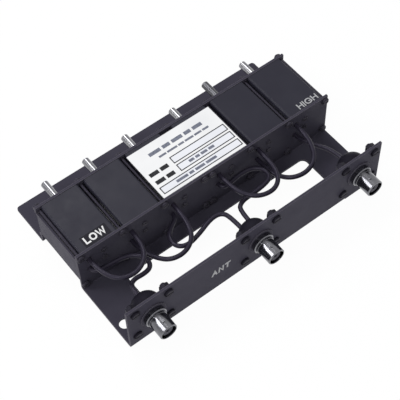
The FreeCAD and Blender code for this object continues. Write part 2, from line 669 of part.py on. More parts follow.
def make_hood(name, across, exits):
    """Hood over the rear of a jack: drawn dome, square plate, holes for its cables."""
    body = new_body(f"{name.capitalize()}Hood")
    plate = sketch_on(body, "XZ_Plane", f"{body.Name}Plate", "-Sizes.sheet")
    half = "Sizes.hood_plate_half"
    rectangle(plate, f"-{half}", half, f"-{half}", half)
    pad(body, plate, "Sizes.hood_plate", reverse=True)
    size = value(half)
    middle = value("Sizes.sheet + Sizes.hood_plate / 2")
    corners = [(right * size, middle, rise * size) for right in (-1, 1) for rise in (-1, 1)]
    round_edges(body, corners, "Sizes.hood_plate_corner", "PlateCorners")

    dome = sketch_on(body, "XZ_Plane", f"{body.Name}Dome", "-Sizes.sheet")
    circles(dome, [("0", "0")], "Sizes.hood_radius")
    pad(body, dome, "Sizes.hood_depth - Sizes.sheet", reverse=True)
    rim = (value("Sizes.hood_radius"), value("Sizes.hood_depth"), 0)
    round_edges(body, [rim], "Sizes.hood_round", "DomeRound")

    clear = "(Sizes.hood_radius - Sizes.hood_wall)"
    crown = "(Sizes.hood_depth - Sizes.hood_wall)"
    bore(body, [
        ("0", f"Sizes.sheet - {MARGIN}"),
        (clear, f"Sizes.sheet - {MARGIN}"),
        (clear, f"{crown} - {clear}"),
        ("0", f"{crown} - {clear}"),
    ])
    before = body.Tip.Shape.Volume
    hollow = sketch_on(body, "XY_Plane", f"{body.Name}Crown")
    arc = quarter(hollow, "0", f"{crown} - {clear}", clear)
    bridge(hollow, (arc, CENTRE), (arc, START))
    bridge(hollow, (arc, END), (arc, CENTRE))
    turn = body.newObject("PartDesign::Groove", f"{body.Name}CrownTurn")
    turn.Profile = hollow
    turn.ReferenceAxis = (hollow, ["V_Axis"])
    cut(body, turn, before)

    signs = [(right, rise) for right in (-1, 1) for rise in (-1, 1)]
    fixings = [(f"{right} * Sizes.hood_fixing_x", f"{rise} * Sizes.hood_fixing_z") for right, rise in signs]
    fixing_hole = "Sizes.hood_screw_radius + Sizes.hole_fit"
    drill(body, fixings, fixing_hole, "Sizes.sheet", "Sizes.hood_plate", "Fixings")
    exit_hole = "Sizes.cable_radius + Sizes.cable_fit"
    inside = f"{crown} - 2 * Sizes.hood_wall"
    drill(body, [(place, "0") for place in exits], exit_hole, inside, "Sizes.hood_exit_depth", "CableHoles")
    finish(body, f"{name}_hood", across, "Sizes.jack_height")


def pattern_body(name):
    """Body of one fastener, from which a group of equal ones is placed."""
    return new_body(f"{name}Pattern")


def make_screw(name, front, head_radius, head, shank_radius, end):
    """Slotted screw along Y whose head seats on the plane at front."""
    body = pattern_body(name)
    top = f"{front} - {head}"
    revolve(body, [
        ("0", top),
        (head_radius, top),
        (head_radius, front),
        (shank_radius, front),
        (shank_radius, end),
        ("0", end),
    ])
    bevel_edges(body, [(value(head_radius), value(top), 0)], f"{head} * {CROWN_SHARE}", "Crown")
    slot = sketch_on(body, "XZ_Plane", f"{name}Slot", f"-({top}) + {MARGIN}")
    past = f"({head_radius} + {MARGIN})"
    rectangle(slot, f"-{past}", past, "-Sizes.slot_width / 2", "Sizes.slot_width / 2")
    pocket(body, slot, f"Sizes.slot_depth + {MARGIN}")
    return body


def make_nut(name, front, flats, thickness, hole_radius):
    """Hexagon nut along Y that seats on the plane at front."""
    body = pattern_body(name)
    section = sketch_on(body, "XZ_Plane", f"{name}Section", f"-({front})")
    hexagon(section, flats)
    circles(section, [("0", "0")], hole_radius)
    pad(body, section, thickness, reverse=True)
    return body


def make_ring(name, front, back, outer, inner, chamfer=None):
    """Round washer or nut along Y."""
    body = pattern_body(name)
    revolve(body, [(inner, front), (outer, front), (outer, back), (inner, back)])
    if chamfer:
        bevel_edges(body, [(value(outer), value(front), 0)], chamfer, "Edge")
    return body


def place_group(pattern, label, places):
    """One node of equal pieces, a copy of the pattern at each place."""
    shape = pattern.Tip.Shape
    copies = []
    for across, up in places:
        copies.append(shape.translated(FreeCAD.Vector(value(across), 0, value(up))))
    group = document.addObject("Part::Feature", label.title().replace("_", ""))
    group.Shape = Part.makeCompound(copies)
    finish(group, label)


def run_pipe(points, radius, curves):
    """Round bar along straight runs and tangent arcs, checked against its length."""
    edges = []
    start = points[0]
    for before, corner, after in zip(points, points[1:], points[2:]):
        back = (before - corner).normalize()
        ahead = (after - corner).normalize()
        turn = math.pi - back.getAngle(ahead)
        bend = curves(corner.distanceToPoint(before), corner.distanceToPoint(after), turn)
        trim = bend * math.tan(turn / 2)
        toward = (back + ahead).normalize()
        apex = corner + toward * (bend / math.cos(turn / 2) - bend)
        first = corner + back * trim
        last = corner + ahead * trim
        if start.distanceToPoint(first) > TOUCH:
            edges.append(Part.LineSegment(start, first).toShape())
        edges.append(Part.Arc(first, apex, last).toShape())
        start = last
    edges.append(Part.LineSegment(start, points[-1]).toShape())
    path = Part.Wire(edges)
    ring = Part.Wire(Part.Circle(points[0], points[1] - points[0], radius).toShape())
    bar = path.makePipeShell([ring], True, False)
    expected = math.pi * radius * radius * path.Length
    if abs(bar.Volume - expected) > expected * VOLUME_SHARE:
        raise RuntimeError(f"bar of {bar.Volume} instead of {expected}")
    return bar


def make_loop(number, across):
    """Wire loop inside a cavity that joins its two cables and couples to the post."""
    begin = value(CLAMP_REAR)
    reach = value("Sizes.loop_reach")
    upper = FreeCAD.Vector(value("-Sizes.upper_cable_shift"), begin, value("Sizes.upper_cable_height"))
    lower = FreeCAD.Vector(value("-Sizes.lower_cable_shift"), begin, value("Sizes.lower_cable_height"))
    half = (upper - lower).Length / 2
    back = FreeCAD.Vector(0, reach, 0)
    crown = (upper + lower) / 2 + back + FreeCAD.Vector(0, half, 0)
    edges = [
        Part.LineSegment(upper, upper + back).toShape(),
        Part.Arc(upper + back, crown, lower + back).toShape(),
        Part.LineSegment(lower + back, lower).toShape(),
    ]
    ring = Part.Wire(Part.Circle(upper, back, value("Sizes.loop_wire_radius")).toShape())
    loop = document.addObject("Part::Feature", f"CouplingLoop{number}")
    loop.Shape = Part.Wire(edges).makePipeShell([ring], True, False)
    finish(loop, f"coupling_loop_{number}", across)


def upper_hole(number):
    """Where a cable ends in the upper hole of a cavity."""
    across = value(f"{TUBE_X[number - 1]} - Sizes.upper_cable_shift")
    return FreeCAD.Vector(across, value(CLAMP_REAR), value("Sizes.upper_cable_height"))


def lower_hole(number):
    """Where a cable ends in the lower hole of a cavity."""
    across = value(f"{TUBE_X[number - 1]} - Sizes.lower_cable_shift")
    return FreeCAD.Vector(across, value(CLAMP_REAR), value("Sizes.lower_cable_height"))


def jack_end(name, shift="0"):
    """Where a cable ends inside the hood of a jack."""
    across = value(f"{JACK_X[name]} + {shift}")
    depth = value("Sizes.sheet + Sizes.jack_flange + Sizes.contact_tail")
    return FreeCAD.Vector(across, depth, value("Sizes.jack_height"))


# Jumper cables: where each starts and ends, and its route as it lies at the
# sizes above, X from the middle, Y from the panel, Z from the base. When a
# hole or a jack moves, the route between its ends moves with them.
CABLES = {
    "jumper_cavity_1_to_2": (
        upper_hole(1),
        ((-82.7, 48.0, 26.2), (-82.7, 40.0, 26.2), (-80.4, 30.6, 26.3), (-75.0, 24.4, 26.5),
         (-66.8, 23.0, 26.6), (-58.8, 27.2, 26.4), (-54.8, 34.6, 26.3), (-53.9, 42.0, 26.2),
         (-53.9, 48.0, 26.2)),
        upper_hole(2),
    ),
    "jumper_cavity_2_to_3": (
        lower_hole(2),
        ((-54.5, 48.0, 17.2), (-54.5, 39.6, 17.2), (-52.0, 29.2, 18.8), (-46.4, 20.8, 20.6),
         (-36.8, 18.8, 22.2), (-28.8, 23.4, 23.8), (-25.6, 32.2, 25.2), (-25.1, 41.0, 26.2),
         (-25.1, 48.0, 26.2)),
        upper_hole(3),
    ),
    "jumper_cavity_3_to_antenna": (
        lower_hole(3),
        ((-25.7, 48.0, 17.2), (-25.7, 43.4, 17.2), (-31.8, 40.0, 17.3), (-37.2, 34.8, 17.8),
         (-38.0, 27.4, 18.2), (-32.4, 23.4, 18.6), (-22.4, 25.4, 19.2), (-12.4, 28.8, 19.8),
         (-5.2, 28.2, 20.3), (-2.5, 22.4, 20.6), (-2.5, 6.5, 20.6)),
        jack_end("antenna", "-Sizes.twin_cable_shift"),
    ),
    "jumper_antenna_to_cavity_4": (
        jack_end("antenna", "Sizes.twin_cable_shift"),
        ((3.7, 6.5, 20.6), (3.7, 22.4, 20.6), (8.4, 26.8, 20.4), (17.4, 27.2, 20.2),
         (26.0, 27.8, 20.1), (32.4, 29.6, 20.0), (33.9, 36.6, 19.8), (28.8, 42.4, 19.0),
         (20.4, 43.6, 18.0), (12.6, 42.6, 17.4), (7.3, 42.8, 17.2), (7.3, 48.0, 17.2)),
        lower_hole(4),
    ),
    "jumper_cavity_4_to_5": (
        upper_hole(4),
        ((7.9, 48.0, 26.2), (7.9, 38.4, 26.2), (9.8, 27.6, 26.4), (15.8, 20.2, 26.6),
         (24.8, 18.0, 26.7), (32.2, 21.8, 26.5), (35.9, 30.0, 26.3), (36.7, 39.4, 26.2),
         (36.7, 48.0, 26.2)),
        upper_hole(5),
    ),
    "jumper_cavity_5_to_6": (
        lower_hole(5),
        ((36.1, 48.0, 17.2), (36.1, 39.2, 17.2), (36.4, 29.8, 18.7), (41.2, 21.4, 20.4),
         (50.4, 18.2, 21.9), (59.4, 21.8, 23.2), (64.2, 30.4, 24.7), (65.5, 40.0, 26.2),
         (65.5, 48.0, 26.2)),
        upper_hole(6),
    ),
    "jumper_cavity_6_to_high": (
        lower_hole(6),
        ((64.9, 48.0, 17.2), (64.9, 42.6, 17.2), (67.8, 33.6, 18.4), (73.7, 20.4, 20.6),
         (73.7, 6.5, 20.6)),
        jack_end("high"),
    ),
    "jumper_low_to_cavity_1": (
        jack_end("low"),
        ((-73.7, 6.5, 20.6), (-73.7, 20.4, 20.6), (-69.8, 23.8, 20.4), (-62.2, 23.2, 20.0),
         (-57.2, 24.6, 19.7), (-55.4, 29.4, 19.4), (-57.4, 35.4, 19.0), (-63.8, 39.8, 18.5),
         (-73.2, 41.2, 17.8), (-83.3, 42.4, 17.2), (-83.3, 48.0, 17.2)),
        lower_hole(1),
    ),
}


def follow(route, start, end):
    """Points of a route, moved along with the places where its cable starts and ends."""
    first, *inner, last = [FreeCAD.Vector(*point) for point in route]
    points = [start]
    for step, point in enumerate(inner):
        share = step / (len(inner) - 1)
        points.append(point + (start - first) * (1 - share) + (end - last) * share)
    return points + [end]


def make_cable(name, start, route, end):
    """Jumper cable, whole from one end to the other."""
    radii = []

    def bend_radius(before, after, turn):
        radii.append(PATH_SHARE * min(before, after) / math.tan(turn / 2))
        return radii[-1]

    cable = document.addObject("Part::Feature", name.title().replace("_", ""))
    cable.Shape = run_pipe(follow(route, start, end), value("Sizes.cable_radius"), bend_radius)
    finish(cable, name)
    print(name, "bend radii", " ".join(f"{radius:.1f}" for radius in radii))


def make_nameplate():
    """Thin plate that lies on top of the two middle cavities."""
    plate = document.addObject("Part::Box", "Nameplate")
    plate.setExpression("Length", "Sizes.label_width")
    plate.setExpression("Width", "Sizes.label_depth")
    plate.setExpression("Height", "Sizes.label_thickness")
    finish(plate, "nameplate", "Sizes.label_left", "Sizes.tube_top")
    plate.setExpression("Placement.Base.y", f"{DATUM} + Sizes.label_front")


def make_fasteners():
    """Groups of equal screws, nuts and washers."""
    tie_end = f"{REAR_BACK} + Sizes.tie_nut_thickness + Sizes.tie_end"
    radius = "Sizes.tie_head_radius"
    tie = make_screw("TieScrew", CLAMP_FRONT, radius, "Sizes.tie_head", "Sizes.tie_radius", tie_end)
    place_group(tie, "tie_screws", TIE_PLACES)
    nut_hole = "Sizes.tie_radius + Sizes.jack_fit"
    nut = make_nut("TieNut", REAR_BACK, "Sizes.tie_nut_flats", "Sizes.tie_nut_thickness", nut_hole)
    place_group(nut, "tie_nuts", TIE_PLACES)

    grip = f"{CLAMP_REAR} + Sizes.post_screw_grip"
    radius = "Sizes.post_screw_head_radius"
    shank = "Sizes.post_screw_radius"
    post = make_screw("PostScrew", CLAMP_FRONT, radius, "Sizes.post_screw_head", shank, grip)
    place_group(post, "post_screws", POST_SCREW_PLACES)

    seat = "Sizes.sheet + Sizes.hood_plate"
    end = f"{seat} + Sizes.hood_nut_thickness + Sizes.hood_screw_end"
    radius = "Sizes.hood_screw_head_radius"
    hood = make_screw("HoodScrew", "0", radius, "Sizes.hood_screw_head", "Sizes.hood_screw_radius", end)
    place_group(hood, "hood_screws", HOOD_SCREW_PLACES)
    nut_hole = "Sizes.hood_screw_radius + Sizes.jack_fit"
    nut = make_nut("HoodNut", seat, "Sizes.hood_nut_flats", "Sizes.hood_nut_thickness", nut_hole)
    place_group(nut, "hood_nuts", HOOD_SCREW_PLACES)

    lock_hole = "Sizes.bush_radius + Sizes.jack_fit"
    lock = make_nut("LockNut", REAR_BACK, "Sizes.lock_nut_flats", "Sizes.lock_nut_thickness", lock_hole)
    place_group(lock, "rod_lock_nuts", [(across, "Sizes.rod_height") for across in ROD_X])

    jacks = [(across, "Sizes.jack_height") for across in JACK_X.values()]
    clear = "Sizes.thread_radius + Sizes.jack_fit"
    washer = make_ring("JackWasher", "-Sizes.washer_thickness", "0", "Sizes.washer_radius", clear)
    place_group(washer, "jack_washers", jacks)
    back = "-Sizes.washer_thickness"
    front = f"{back} - Sizes.ring_nut_thickness"
    ring = make_ring("JackNut", front, back, "Sizes.ring_nut_radius", clear, "Sizes.ring_nut_chamfer")
    place_group(ring, "jack_nuts", jacks)

    contact = pattern_body("Contact")
    mouth = "-Sizes.jack_reach + Sizes.contact_setback"
    tail = "Sizes.sheet + Sizes.jack_flange + Sizes.contact_tail"
    revolve(contact, [
        ("0", mouth),
        ("Sizes.contact_radius", mouth),
        ("Sizes.contact_radius", tail),
        ("0", tail),
    ])
    floor = f"{mouth} + Sizes.contact_bore_depth"
    bore(contact, [
        ("0", f"{mouth} - {MARGIN}"),
        ("Sizes.contact_bore_radius", f"{mouth} - {MARGIN}"),
        ("Sizes.contact_bore_radius", floor),
        ("0", floor),
    ])
    place_group(contact, "centre_contacts", jacks)


def check_document():
    """Stop if any object has failed or any sub-part is not a sound solid."""
    for item in document.Objects:
        if {"Invalid", "Error"} & set(item.State):
            raise RuntimeError(f"{item.Name} has failed: {item.State}")
    for piece in subparts:
        if piece.Shape.isNull() or not piece.Shape.isValid():
            raise RuntimeError(f"{piece.Label} is not a sound shape")


def write_parts():
    """Write one file for each sub-part."""
    os.makedirs("parts", exist_ok=True)
    for piece in subparts:
        piece.Shape.exportStep(f"parts/{piece.Label}.step")


make_front_bracket()
make_rear_bracket()
for index, (tube_x, rod_x) in enumerate(zip(TUBE_X, ROD_X)):
    make_tube(index + 1, tube_x)
    make_conductor(index + 1, rod_x)
    make_rod(index + 1, rod_x, ROD_SETTINGS[index])
    make_bush(index + 1, rod_x)
    make_loop(index + 1, tube_x)
TWIN_EXITS = ("-Sizes.twin_cable_shift", "Sizes.twin_cable_shift")
for port, port_x in JACK_X.items():
    make_jack(port, port_x)
    make_insulator(port, port_x)
    make_hood(port, port_x, TWIN_EXITS if port == "antenna" else ("0",))
for cable_name, (cable_start, cable_route, cable_end) in CABLES.items():
    make_cable(cable_name, cable_start, cable_route, cable_end)
make_nameplate()
make_fasteners()
document.recompute()
check_document()
write_parts()
print(len(subparts), "sub-parts")
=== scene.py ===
"""Looks of a cavity duplexer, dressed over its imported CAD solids.

The CAD frame holds every rigid piece. This file gives each piece its finish, draws
the eight jumper cables as smooth curves, and puts on the printed markings.
"""

import logging
from dataclasses import dataclass, field
from enum import Enum

import bpy
from mathutils import Matrix, Quaternion, Vector


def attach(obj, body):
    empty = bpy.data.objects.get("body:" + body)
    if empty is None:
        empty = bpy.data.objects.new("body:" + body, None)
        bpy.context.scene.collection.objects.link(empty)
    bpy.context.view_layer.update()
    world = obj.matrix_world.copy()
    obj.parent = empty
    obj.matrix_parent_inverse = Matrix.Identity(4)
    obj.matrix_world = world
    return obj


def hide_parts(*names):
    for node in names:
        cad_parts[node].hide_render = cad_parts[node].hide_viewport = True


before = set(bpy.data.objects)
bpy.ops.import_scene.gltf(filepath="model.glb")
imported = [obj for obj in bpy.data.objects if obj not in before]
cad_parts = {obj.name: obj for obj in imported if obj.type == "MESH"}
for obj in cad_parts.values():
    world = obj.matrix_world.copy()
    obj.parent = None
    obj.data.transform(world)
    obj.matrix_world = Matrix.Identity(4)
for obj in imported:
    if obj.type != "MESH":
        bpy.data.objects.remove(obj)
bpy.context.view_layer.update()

log = logging.getLogger("duplexer")

Colour = tuple[float, float, float]
Point = tuple[float, float, float]

MM = 0.001
PANEL_Y = -51.0

# Spans of a noise or of an edge's turn that a finish takes in.
PATCH_SPAN = (0.3, 0.7)
CHIP_SPAN = (0.35, 0.65)
GLOSS_SPAN = (0.25, 0.75)
EDGE_SPAN = (0.99, 0.86)

BEVEL_SAMPLES = 6
MITRE_LIMIT = 0.5


class Facing(Enum):
    """The way a flat marking looks: its writing direction and its up direction."""

    TOP = ((1.0, 0.0, 0.0), (0.0, 1.0, 0.0), (0.0, 0.0, 1.0))
    FRONT = ((1.0, 0.0, 0.0), (0.0, 0.0, 1.0), (0.0, -1.0, 0.0))


class Bench:
    """Adds and joins the shader nodes of one material."""

    def __init__(self, name: str) -> None:
        """Starts a material with a plain shader.

        Args:
            name: Name of the material.
        """
        self.material = bpy.data.materials.new(name)
        self.material.use_nodes = True
        self.tree = self.material.node_tree
        self.tree.nodes.clear()
        output = self.add("ShaderNodeOutputMaterial")
        self.shader = self.add("ShaderNodeBsdfPrincipled")
        self.join(self.shader.outputs["BSDF"], output.inputs["Surface"])

    def add(self, kind: str, **settings: object) -> bpy.types.Node:
        """Adds one node.

        Args:
            kind: Blender's name of the node type.
            settings: Attributes to set on it.

        Returns:
            The new node.
        """
        node = self.tree.nodes.new(kind)
        for key, value in settings.items():
            setattr(node, key, value)
        return node

    def join(self, source: bpy.types.NodeSocket, target: bpy.types.NodeSocket) -> None:
        """Links an output socket to an input socket."""
        self.tree.links.new(source, target)

    def noise(self, scale: float, detail: float, stretch: Point = (1.0, 1.0, 1.0)) -> bpy.types.NodeSocket:
        """Adds a noise fixed to the object.

        Args:
            scale: Patches per metre.
            detail: Octaves of the noise.
            stretch: Factor on each axis, small along the grain.

        Returns:
            The noise's value, about 0.5 on average.
        """
        place = self.add("ShaderNodeTexCoord")
        mapping = self.add("ShaderNodeMapping")
        mapping.inputs["Scale"].default_value = stretch
        self.join(place.outputs["Object"], mapping.inputs["Vector"])
        texture = self.add("ShaderNodeTexNoise")
        texture.inputs["Scale"].default_value = scale
        texture.inputs["Detail"].default_value = detail
        self.join(mapping.outputs["Vector"], texture.inputs["Vector"])
        return texture.outputs["Fac"]

    def spread(
        self, source: bpy.types.NodeSocket, span: tuple[float, float], result: tuple[float, float]
    ) -> bpy.types.NodeSocket:
        """Maps a value from one span onto another, held at its ends.

        Args:
            source: The value.
            span: Lowest and highest value taken in.
            result: What they become.

        Returns:
            The mapped value.
        """
        node = self.add("ShaderNodeMapRange", clamp=True)
        for key, value in zip(("From Min", "From Max", "To Min", "To Max"), (*span, *result)):
            node.inputs[key].default_value = value
        self.join(source, node.inputs["Value"])
        return node.outputs["Result"]

    def blend(self, share: bpy.types.NodeSocket, first: object, second: object) -> bpy.types.NodeSocket:
        """Mixes two colours.

        Args:
            share: 0 for the first colour, 1 for the second.
            first: A colour, or a socket that gives one.
            second: A colour, or a socket that gives one.

        Returns:
            The mixed colour.
        """
        node = self.add("ShaderNodeMix", data_type="RGBA")
        # The node holds one set of sockets for each kind: 6, 7 and output 2 are those of a colour.
        self.join(share, node.inputs[0])
        for socket, colour in ((node.inputs[6], first), (node.inputs[7], second)):
            if isinstance(colour, bpy.types.NodeSocket):
                self.join(colour, socket)
            else:
                socket.default_value = (*colour, 1.0)
        return node.outputs[2]

    def times(self, first: bpy.types.NodeSocket, second: bpy.types.NodeSocket) -> bpy.types.NodeSocket:
        """Multiplies two values and returns the product's socket."""
        node = self.add("ShaderNodeMath", operation="MULTIPLY")
        self.join(first, node.inputs[0])
        self.join(second, node.inputs[1])
        return node.outputs[0]

    def edges(self, radius: float) -> tuple[bpy.types.NodeSocket, bpy.types.NodeSocket]:
        """Finds the sharp edges of a piece.

        Args:
            radius: How far in from an edge the edge colour reaches, in metres.

        Returns:
            The share of the edge colour, 1 on an edge, and the softened normal. That colour stands for rubbed paint,
            and on some finishes for a painted highlight.
        """
        soft = self.add("ShaderNodeBevel", samples=BEVEL_SAMPLES)
        soft.inputs["Radius"].default_value = radius
        place = self.add("ShaderNodeNewGeometry")
        turn = self.add("ShaderNodeVectorMath", operation="DOT_PRODUCT")
        self.join(soft.outputs["Normal"], turn.inputs[0])
        self.join(place.outputs["Normal"], turn.inputs[1])
        return self.spread(turn.outputs["Value"], EDGE_SPAN, (0.0, 1.0)), soft.outputs["Normal"]


@dataclass(frozen=True)
class Finish:
    """A surface with patches of two colours, uneven gloss, a fine grain and lighter edges, which are rubbed paint on
    most finishes and a painted highlight on some.

    Attributes:
        name: Name of the finish.
        colour: Its main colour.
        drift: The colour that it drifts to in patches.
        roughness: Mean roughness.
        uneven: How far the roughness goes up and down.
        patch: Patches per metre.
        metallic: 1 for bare metal.
        reflectance: Specular level.
        sheen: Tint of the gloss.
        grain: Grains per metre.
        relief: Depth of the grain, in metres.
        stretch: Factor on each axis, small along the grain.
        edge_wear_and_highlight: Colour of the edges, rubbed paint on most finishes and a painted highlight on some.
        edge_wear_and_highlight_share: Most of the edge colour that shows on an edge.
        edge_wear_and_highlight_radius: How far in from an edge the edge colour reaches, in metres.
        edge_wear_and_highlight_floor: Least share of the edge colour between its chips.
        chip_fineness: Chips for each patch.
        gloss_fineness: Spots of uneven gloss for each patch.
    """

    name: str
    colour: Colour
    drift: Colour
    roughness: float
    uneven: float
    patch: float = 45.0
    metallic: float = 0.0
    reflectance: float = 0.5
    sheen: Colour = (1.0, 1.0, 1.0)
    grain: float = 1500.0
    relief: float = 0.00002
    stretch: Point = (1.0, 1.0, 1.0)
    edge_wear_and_highlight: Colour = (0.1, 0.09, 0.09)
    edge_wear_and_highlight_share: float = 0.6
    edge_wear_and_highlight_radius: float = 0.00025
    edge_wear_and_highlight_floor: float = 0.35
    chip_fineness: float = 12.0
    gloss_fineness: float = 3.0

    def material(self) -> bpy.types.Material:
        """Builds the finish as a node material.

        Returns:
            The material, made once and then found by its name.
        """
        label = f"{self.name}_finish"
        known = bpy.data.materials.get(label)
        if known is not None:
            return known
        bench = Bench(label)
        shader = bench.shader.inputs
        cloud = bench.noise(self.patch, 3.0)
        base = bench.blend(bench.spread(cloud, PATCH_SPAN, (0.0, 1.0)), self.colour, self.drift)
        # Every sharp edge takes the lighter edge colour. It is rubbed paint on most finishes, a painted highlight on
        # the tubes and painted screws, and both on the brackets.
        edge_mask, soft = bench.edges(self.edge_wear_and_highlight_radius)
        chips = bench.spread(bench.noise(self.patch * self.chip_fineness, 2.0), CHIP_SPAN, (self.edge_wear_and_highlight_floor, 1.0))
        reach = bench.spread(bench.times(edge_mask, chips), (0.0, 1.0), (0.0, self.edge_wear_and_highlight_share))
        bench.join(bench.blend(reach, base, self.edge_wear_and_highlight), shader["Base Color"])
        low, high = self.roughness - self.uneven, self.roughness + self.uneven
        gloss = bench.noise(self.patch * self.gloss_fineness, 4.0, self.stretch)
        bench.join(bench.spread(gloss, GLOSS_SPAN, (low, high)), shader["Roughness"])
        bump = bench.add("ShaderNodeBump")
        bump.inputs["Strength"].default_value = 1.0
        bump.inputs["Distance"].default_value = self.relief
        bench.join(bench.noise(self.grain, 2.0, self.stretch), bump.inputs["Height"])
        bench.join(soft, bump.inputs["Normal"])
        bench.join(bump.outputs["Normal"], shader["Normal"])
        shader["Metallic"].default_value = self.metallic
        shader["Specular IOR Level"].default_value = self.reflectance
        shader["Specular Tint"].default_value = (*self.sheen, 1.0)
        return bench.material

    def dress(self, piece: bpy.types.Object) -> None:
        """Gives the whole piece this finish.

        Args:
            piece: A mesh or curve object.
        """
        piece.data.materials.clear()
        piece.data.materials.append(self.material())


COOL: Colour = (0.84, 0.80, 1.0)

# Painted light: this enamel is set lighter than the tubes' to make up for the shade on the front clamp plates and
# floor arms. Its light edges are partly rubbed paint and partly a painted highlight along the sheet edges.
BRACKET_ENAMEL = Finish(
    "bracket_enamel", (0.043, 0.040, 0.056), (0.051, 0.048, 0.065), 0.46, 0.05,
    reflectance=0.035, sheen=COOL, relief=0.000012, edge_wear_and_highlight=(0.175, 0.160, 0.180), edge_wear_and_highlight_share=0.95, edge_wear_and_highlight_radius=0.0004,
    edge_wear_and_highlight_floor=0.8,
)
# Painted light: the light edge colour, laid almost evenly along the tubes' rounded corners, is a painted highlight.
TUBE_ENAMEL = Finish(
    "tube_enamel", (0.019, 0.0183, 0.029), (0.025, 0.0243, 0.0355), 0.38, 0.05,
    reflectance=0.14, relief=0.000010, edge_wear_and_highlight=(0.095, 0.090, 0.105), edge_wear_and_highlight_share=0.6, edge_wear_and_highlight_radius=0.0003,
    edge_wear_and_highlight_floor=0.85,
)
HOOD_ENAMEL = Finish(
    "hood_enamel", (0.009, 0.008, 0.013), (0.013, 0.012, 0.018), 0.45, 0.06,
    reflectance=0.06, sheen=COOL, relief=0.00002, edge_wear_and_highlight=(0.05, 0.046, 0.052), edge_wear_and_highlight_share=0.5,
)
JACKET = Finish(
    "cable_jacket", (0.015, 0.013, 0.022), (0.021, 0.018, 0.029), 0.34, 0.06,
    patch=70.0, reflectance=0.22, sheen=COOL, relief=0.00001, edge_wear_and_highlight_share=0.0,
)
BLACK_ZINC = Finish(
    "blackened_zinc", (0.010, 0.009, 0.014), (0.016, 0.015, 0.021), 0.42, 0.09,
    patch=300.0, metallic=0.15, reflectance=0.10, sheen=COOL, edge_wear_and_highlight=(0.06, 0.056, 0.062), edge_wear_and_highlight_share=0.4,
    edge_wear_and_highlight_radius=0.00015,
)
# Painted light: the light edge colour puts painted highlight specks on the screw heads.
PAINTED_SCREW = Finish(
    "painted_screw", (0.026, 0.024, 0.034), (0.034, 0.031, 0.042), 0.40, 0.08,
    patch=300.0, metallic=0.1, reflectance=0.10, sheen=COOL, edge_wear_and_highlight=(0.20, 0.19, 0.20), edge_wear_and_highlight_share=0.7,
    edge_wear_and_highlight_radius=0.0002,
)
BRIGHT_NICKEL = Finish(
    "bright_nickel", (0.23, 0.23, 0.247), (0.145, 0.145, 0.16), 0.17, 0.02,
    patch=230.0, metallic=1.0, relief=0.000002, stretch=(0.12, 1.0, 0.12), edge_wear_and_highlight=(0.50, 0.50, 0.52), edge_wear_and_highlight_share=0.35,
    edge_wear_and_highlight_radius=0.00012,
)
BRIGHT_ROD = Finish(
    "bright_rod", (0.30, 0.30, 0.31), (0.22, 0.22, 0.24), 0.16, 0.04,
    patch=120.0, metallic=1.0, relief=0.000006, stretch=(1.0, 0.1, 1.0), edge_wear_and_highlight=(0.50, 0.50, 0.52), edge_wear_and_highlight_share=0.2,
    edge_wear_and_highlight_radius=0.00015,
)
DULL_ROD = Finish(
    "dull_rod", (0.12, 0.12, 0.13), (0.09, 0.09, 0.10), 0.36, 0.05,
    patch=120.0, metallic=1.0, relief=0.00002, stretch=(1.0, 0.1, 1.0), edge_wear_and_highlight=(0.28, 0.28, 0.29), edge_wear_and_highlight_share=0.3,
    edge_wear_and_highlight_radius=0.00015,
)
TURNED_BRASS = Finish(
    "turned_brass", (0.50, 0.38, 0.20), (0.42, 0.31, 0.16), 0.30, 0.08,
    patch=200.0, metallic=1.0, stretch=(1.0, 0.2, 1.0), edge_wear_and_highlight=(0.66, 0.52, 0.30),
)
SILVER_PLATE = Finish(
    "silver_plate", (0.72, 0.71, 0.67), (0.60, 0.57, 0.50), 0.28, 0.07,
    patch=120.0, metallic=1.0, edge_wear_and_highlight=(0.80, 0.79, 0.76),
)
COPPER_WIRE = Finish(
    "copper_wire", (0.62, 0.34, 0.22), (0.50, 0.26, 0.16), 0.30, 0.08,
    patch=200.0, metallic=1.0, edge_wear_and_highlight=(0.70, 0.42, 0.28),
)
GOLD_PLATE = Finish(
    "gold_plate", (0.78, 0.60, 0.27), (0.68, 0.50, 0.22), 0.22, 0.05,
    patch=400.0, metallic=1.0, edge_wear_and_highlight=(0.88, 0.72, 0.38), edge_wear_and_highlight_radius=0.0001,
)
DARK_INSULATOR = Finish(
    "dark_insulator", (0.095, 0.093, 0.11), (0.08, 0.078, 0.093), 0.5, 0.05,
    patch=300.0, reflectance=0.1, edge_wear_and_highlight=(0.09, 0.09, 0.10),
)
WHITE_PLATE = Finish(
    "white_plate", (0.80, 0.80, 0.80), (0.72, 0.72, 0.73), 0.38, 0.05,
    reflectance=0.3, relief=0.000006, edge_wear_and_highlight=(0.70, 0.70, 0.72), edge_wear_and_highlight_share=0.5,
)
PALE_FIELD = Finish(
    "pale_field", (0.74, 0.75, 0.79), (0.69, 0.70, 0.74), 0.40, 0.05,
    reflectance=0.3, relief=0.000004, edge_wear_and_highlight_share=0.0,
)
BLACK_INK = Finish(
    "black_ink", (0.012, 0.012, 0.014), (0.022, 0.022, 0.027), 0.45, 0.06,
    patch=500.0, reflectance=0.15, relief=0.000004, edge_wear_and_highlight_share=0.0,
)
GREY_INK = Finish(
    "grey_ink", (0.10, 0.11, 0.15), (0.19, 0.20, 0.25), 0.50, 0.06,
    patch=900.0, reflectance=0.25, relief=0.000004, edge_wear_and_highlight_share=0.0,
)
WHITE_INK = Finish(
    "white_ink", (0.76, 0.76, 0.75), (0.68, 0.68, 0.68), 0.45, 0.05,
    patch=400.0, reflectance=0.25, relief=0.000008, edge_wear_and_highlight_share=0.0,
)
